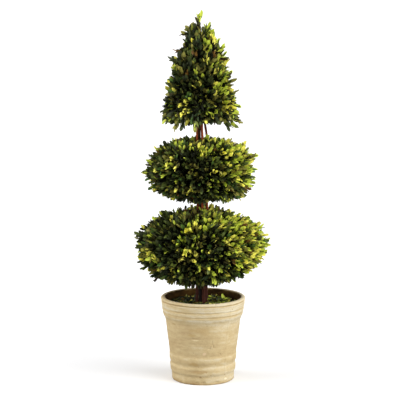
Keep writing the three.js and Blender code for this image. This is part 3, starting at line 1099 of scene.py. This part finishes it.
# Weathering up the wall, with painted highlight on the ridges' upper shoulders and the collar's
# ribs and painted shade in its grooves: height over the pot's height, and how pale the clay is
# there, from brown at 0 through tan at a half to chalky at 1.
WALL_PALENESS_AND_PAINTED_LIGHT = (
    (0.0, 0.1), (0.03, 0.4), (0.064, 0.58), (0.095, 0.5), (0.12, 0.54), (0.16, 0.44),
    (0.185, 0.48), (0.206, 0.54), (0.225, 0.5), (0.26, 0.44), (0.3, 0.5), (0.319, 0.6),
    (0.335, 0.42), (0.36, 0.42), (0.55, 0.46), (0.68, 0.46), (0.74, 0.5), (0.77, 0.52),
    (0.795, 0.66), (0.825, 0.46), (0.855, 0.7),
    (0.88, 0.48), (0.905, 0.7), (0.93, 0.64), (0.95, 0.7), (0.961, 0.32), (0.975, 0.64),
    (1.0, 0.66),
)
PAINTED_SIDE_LIGHT = 0.9  # how much paler the clay is for each metre towards the sunny side: painted light
CLAY_TONES = ("937950", "b5a178", "d0c9b2")  # brown, tan and chalky
# The clay's uneven patches, from broad to fine: how many in a metre along each axis, and how low
# in their waves they start.
CLAY_PATCHES = (
    ((14, 14, 22), 0.3), ((12, 12, 110), 0.3), ((70, 70, 110), 0.3), ((900, 900, 900), 0.2),
)
PATCH_SHARES = (0.18, 0.15, 0.13)  # how much the broader three change how pale the clay is


def height_curve(nodes, height, table):
    """A value that changes with height, through the rows of a table of height and value."""
    node = nodes.add("ShaderNodeFloatCurve", Value=height)
    points = node.mapping.curves[0].points
    for _ in table[2:]:
        points.new(0.5, 0.5)
    for point, (where, value) in zip(points, table):
        point.location = (where, value)
    node.mapping.update()
    return node.outputs[0]


def clay_material(patches, specks, mark):
    """Old cream clay, from brown in its grooves to chalky on its edges, partly weathering and
    partly painted shade and highlight, with stains and pits.
    """
    material, nodes, shader = new_material("weathered_clay", 0.85, 0.3)
    place = nodes.place()
    along = nodes.add("ShaderNodeSeparateXYZ", Vector=place).outputs
    broad, lines, blotches, grain = (
        nodes.group(patches, Place=place, Grain=count, Low=low, High=1 - low)["Mask"]
        for count, low in CLAY_PATCHES
    )
    waver = nodes.math("MULTIPLY_ADD", broad, 3 * MM, -1.5 * MM)
    up_wall = nodes.math("DIVIDE", nodes.math("ADD", along["Z"], waver), POT_HEIGHT * MM)
    # painted highlight on the ridges and painted shade in the grooves, over the weathering
    pale = height_curve(nodes, up_wall, WALL_PALENESS_AND_PAINTED_LIGHT)
    for mask, share in zip((broad, lines, blotches), PATCH_SHARES):
        centred = nodes.math("SUBTRACT", mask, 0.5)
        pale = nodes.math("MULTIPLY_ADD", centred, share, pale)
    # paler towards the lit side: painted light
    pale = nodes.math("MULTIPLY_ADD", along["X"], PAINTED_SIDE_LIGHT, pale)
    brown, tan, chalky = (linear(tone) for tone in CLAY_TONES)
    dark_half = nodes.math("MULTIPLY", pale, 2.0)
    light_half = nodes.math("MULTIPLY_ADD", pale, 2.0, -1.0)
    colour = nodes.mix(light_half, nodes.mix(dark_half, brown, tan), chalky)
    for facing, height, wide, tall, shade in POT_MARKS:
        reach = np.interp(height, *zip(*POT_WALL)) * MM
        turn = math.radians(facing)
        middle = (reach * math.cos(turn), reach * math.sin(turn), height * MM)
        scale = (1 / (wide * MM), 1 / (wide * MM), 1 / (tall * MM))
        spot = nodes.group(mark, Place=place, Middle=middle, Scale=scale, Wobble=blotches)
        colour = nodes.mix(nodes.math("MULTIPLY", spot["Mask"], 0.7), colour, linear(shade))
    pits = nodes.group(specks, Place=place, Count=95, Size=0.2)["Mask"]
    colour = nodes.mix(nodes.math("MULTIPLY", pits, 0.5), colour, linear("8a7048"))
    relief = nodes.math("MULTIPLY_ADD", grain, 0.35, blotches)
    dress(nodes, shader, colour, nodes.math("SUBTRACT", relief, pits), 0.5 * MM)
    return material


def stained_shaded_clay_material(patches):
    """The inside of the pot above the soil, brown from wet earth and painted darker still as shade.
    """
    material, nodes, shader = new_material("stained_shaded_clay", 0.9, 0.1)
    place = nodes.place()
    # the dark brown is partly stain and partly painted shade inside the pot
    stain = nodes.group(
        patches, Place=place, Grain=(30, 30, 60), Low=0.3, High=0.7,
        Below=linear("2a1b0a"), Above=linear("543b17"),
    )
    height = nodes.add("ShaderNodeSeparateXYZ", Vector=place).outputs["Z"]
    waver = nodes.math("MULTIPLY_ADD", stain["Mask"], 4 * MM, height)
    dry = nodes.ramp(waver, (POT_HEIGHT - 2) * MM, (POT_HEIGHT + 5) * MM)
    colour = nodes.mix(dry, stain["Colour"], linear("9a845c"))
    dress(nodes, shader, colour, stain["Mask"], 0.6 * MM)
    return material


# ------------------------------------------------------------------ soil and fallen leaves


def soil_material(patches, specks):
    """Damp dark potting soil with paler grit."""
    material, nodes, shader = new_material("damp_soil", 0.95)
    place = nodes.place()
    crumbs = nodes.group(
        patches, Place=place, Grain=(220, 220, 220), Low=0.35, High=0.7,
        Below=linear("120d08"), Above=linear("33251a"),
    )
    grit = nodes.group(specks, Place=place, Count=180, Size=0.3)["Mask"]
    colour = nodes.mix(grit, crumbs["Colour"], linear("5b4a38"))
    dress(nodes, shader, colour, nodes.math("ADD", crumbs["Mask"], grit), 1.5 * MM)
    return material


SOIL_RINGS, SOIL_SIDES = 34, 120
SOIL_EDGE_DEPTH = 8 * MM  # how far the bed's edge goes down along the pot's inside


def make_soil(soil):
    """The soil's uneven top, inside the pot, on the plain plug's place."""
    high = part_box("soil")[1]
    radii = np.concatenate([[0.5 * MM], np.linspace(4 * MM, high.x - 0.5 * MM, SOIL_RINGS)])
    rings = round_rings(np.tile(radii[:, None], SOIL_SIDES), np.full(len(radii), high.z))
    for point in rings.reshape(-1, 3):
        x, y, _ = point
        bump = 2.2 * rough(x * 60, y * 60, 3.0) + 1.2 * rough(x * 190, y * 190, 8.0) + 1.5
        point[2] += bump * MM
    edge = rings[-1:] * (0.985, 0.985, 1)
    edge[..., 2] = high.z - SOIL_EDGE_DEPTH
    rings = np.concatenate([rings, edge])
    settle(tube_object("soil_bed", rings[::-1], [soil]), "soil", "soil")


LITTER_LEAVES = 620
LITTER_GAP = 7 * MM  # between the middles of the outermost fallen leaves and the litter's edge
LITTER_PAINTED_LIGHT_FALLOFF = 0.09  # how fast the fallen leaves' tones grow darker away from the sun's side, in metres: painted light


def make_litter(leaf_tones, rng):
    """Fallen leaves on the soil, lying any way up."""
    low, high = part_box("leaf_litter")
    count = LITTER_LEAVES
    reach = high.x - LITTER_GAP
    radius = reach * np.sqrt(rng.uniform(0.02, 1, count))
    turn = rng.uniform(0, 2 * math.pi, count)
    layer = rng.uniform(0.15, 0.75, count)
    height = low.z + (high.z - low.z) * layer
    heading = rng.uniform(0, 2 * math.pi, count)
    tilt = rng.normal(0, 0.3, count)
    level = np.cos(tilt)
    axis = np.stack([np.cos(heading) * level, np.sin(heading) * level, np.sin(tilt)], axis=1)
    length = rng.uniform(0.014, 0.022, count)
    middle = np.stack([radius * np.cos(turn), radius * np.sin(turn), height], axis=1)
    # fallen leaves towards the sun's side get brighter tones and more young ones: painted light
    sunny = np.clip(0.45 + middle[:, 0] / LITTER_PAINTED_LIGHT_FALLOFF, 0.2, 0.9)
    tones = dealt_tones(sunny, rng)
    leaves = {
        "base": middle - axis * length[:, None] / 2,
        "axis": axis,
        "up": unit(UP + rng.normal(0, 0.35, (count, 3))),
        "length": length,
        "width": length * LEAF_SLIMNESS * rng.uniform(0.95, 1.3, count),
        "fold": rng.uniform(0.1, 0.6, count),
        "bend": rng.normal(0.05, 0.15, count),
        "shade": 2 * tones + (rng.random(count) < 0.15 + 0.5 * sunny),
        # a fallen leaf's foot takes its old tone: painted shade
        "foot_painted_shade": 2 * tones,
    }
    settle(leaf_piece("fallen_leaves", leaves, leaf_tones), "fallen_leaves", "leaf_litter")


# ------------------------------------------------------------------ floor, light and camera


# Each lamp: where its light comes from, its strength, and how soft its shadows are, in degrees.
SUNS = {
    "key": ((0.87, -0.44, 0.52), 4.0, 64),
    "left_fill": ((-0.94, -0.1, 0.5), 3.0, 60),
    "front_fill": ((-0.1, -0.8, 0.7), 0.5, 40),
}
ROOM_LIGHT = 0.42  # how strong the even light from all round is
FLOOR_SEEN, FLOOR_THROWN = (0.85, 0.85, 0.855, 1), (0.42, 0.42, 0.42, 1)
CAMERA_PLACE, CAMERA_DIP, CAMERA_LENS = (-0.0075, -3.95, 1.056), 8.7, 145.5


def make_floor():
    """A plain pale floor that runs out of sight, and throws little light up at the plant."""
    half = 60.0
    points = [(-half, -half, 0), (half, -half, 0), (half, half, 0), (-half, half, 0)]
    material, nodes, shader = new_material("pale_floor", 0.9)
    seen = nodes.add("ShaderNodeLightPath").outputs["Is Camera Ray"]
    nodes.feed(shader.inputs["Base Color"], nodes.mix(seen, FLOOR_THROWN, FLOOR_SEEN))
    mesh_object("floor", points, [0, 1, 2, 3], [4], [material])


def sun(name, direction, strength, softness):
    """A distant lamp whose light comes from a direction, with soft-edged shadows."""
    lamp = bpy.data.lights.new(name, "SUN")
    lamp.energy = strength
    lamp.angle = math.radians(softness)
    holder = bpy.data.objects.new(name, lamp)
    holder.rotation_euler = Vector(direction).to_track_quat("Z", "Y").to_euler()
    bpy.context.scene.collection.objects.link(holder)


def light_the_room():
    """Even white light from all round, and soft keys from the right, the left and the front."""
    world = bpy.data.worlds.new("studio")
    world.use_nodes = True
    background = world.node_tree.nodes["Background"]
    background.inputs["Color"].default_value = (1, 1, 1, 1)
    background.inputs["Strength"].default_value = ROOM_LIGHT
    bpy.context.scene.world = world
    for name, (direction, strength, softness) in SUNS.items():
        sun(name, direction, strength, softness)


def place_camera():
    """A long lens at eye level for the plant, looking a little down."""
    camera = bpy.data.cameras.new("camera")
    camera.sensor_width = 36
    camera.lens = CAMERA_LENS
    camera.clip_end = 200
    holder = bpy.data.objects.new("camera", camera)
    holder.location = CAMERA_PLACE
    holder.rotation_euler = (math.radians(90 - CAMERA_DIP), 0, 0)
    bpy.context.scene.collection.objects.link(holder)
    bpy.context.scene.camera = holder


# ------------------------------------------------------------------ the whole plant


def build():
    """The room and the plant in it. Each mass of foliage grows with a chance of its own."""
    rng = np.random.default_rng(SEED)
    place_camera()
    make_floor()
    light_the_room()
    bpy.context.scene.view_settings.view_transform = "Standard"
    patches, specks = patches_group(), specks_group()
    leaf_tones = leaf_materials()
    bark, painted_shade_bark, twig_bark = (
        bark_material(name, *tones, patches, specks) for name, tones in BARKS.items()
    )
    stems = [stem_line(node)[:, :3] for node in STEM_NODES]
    for node in STEM_NODES:
        grow_stem(node, painted_shade_bark if node in INNER_STEMS_PAINTED_DARK else bark, rng)
    for node, spec in MASSES.items():
        grow_mass(node, spec, stems, leaf_tones, twig_bark, np.random.default_rng(SEED))
    make_pot(clay_material(patches, specks, mark_group()), stained_shaded_clay_material(patches), rng)
    make_soil(soil_material(patches, specks))
    make_litter(leaf_tones, rng)


build()
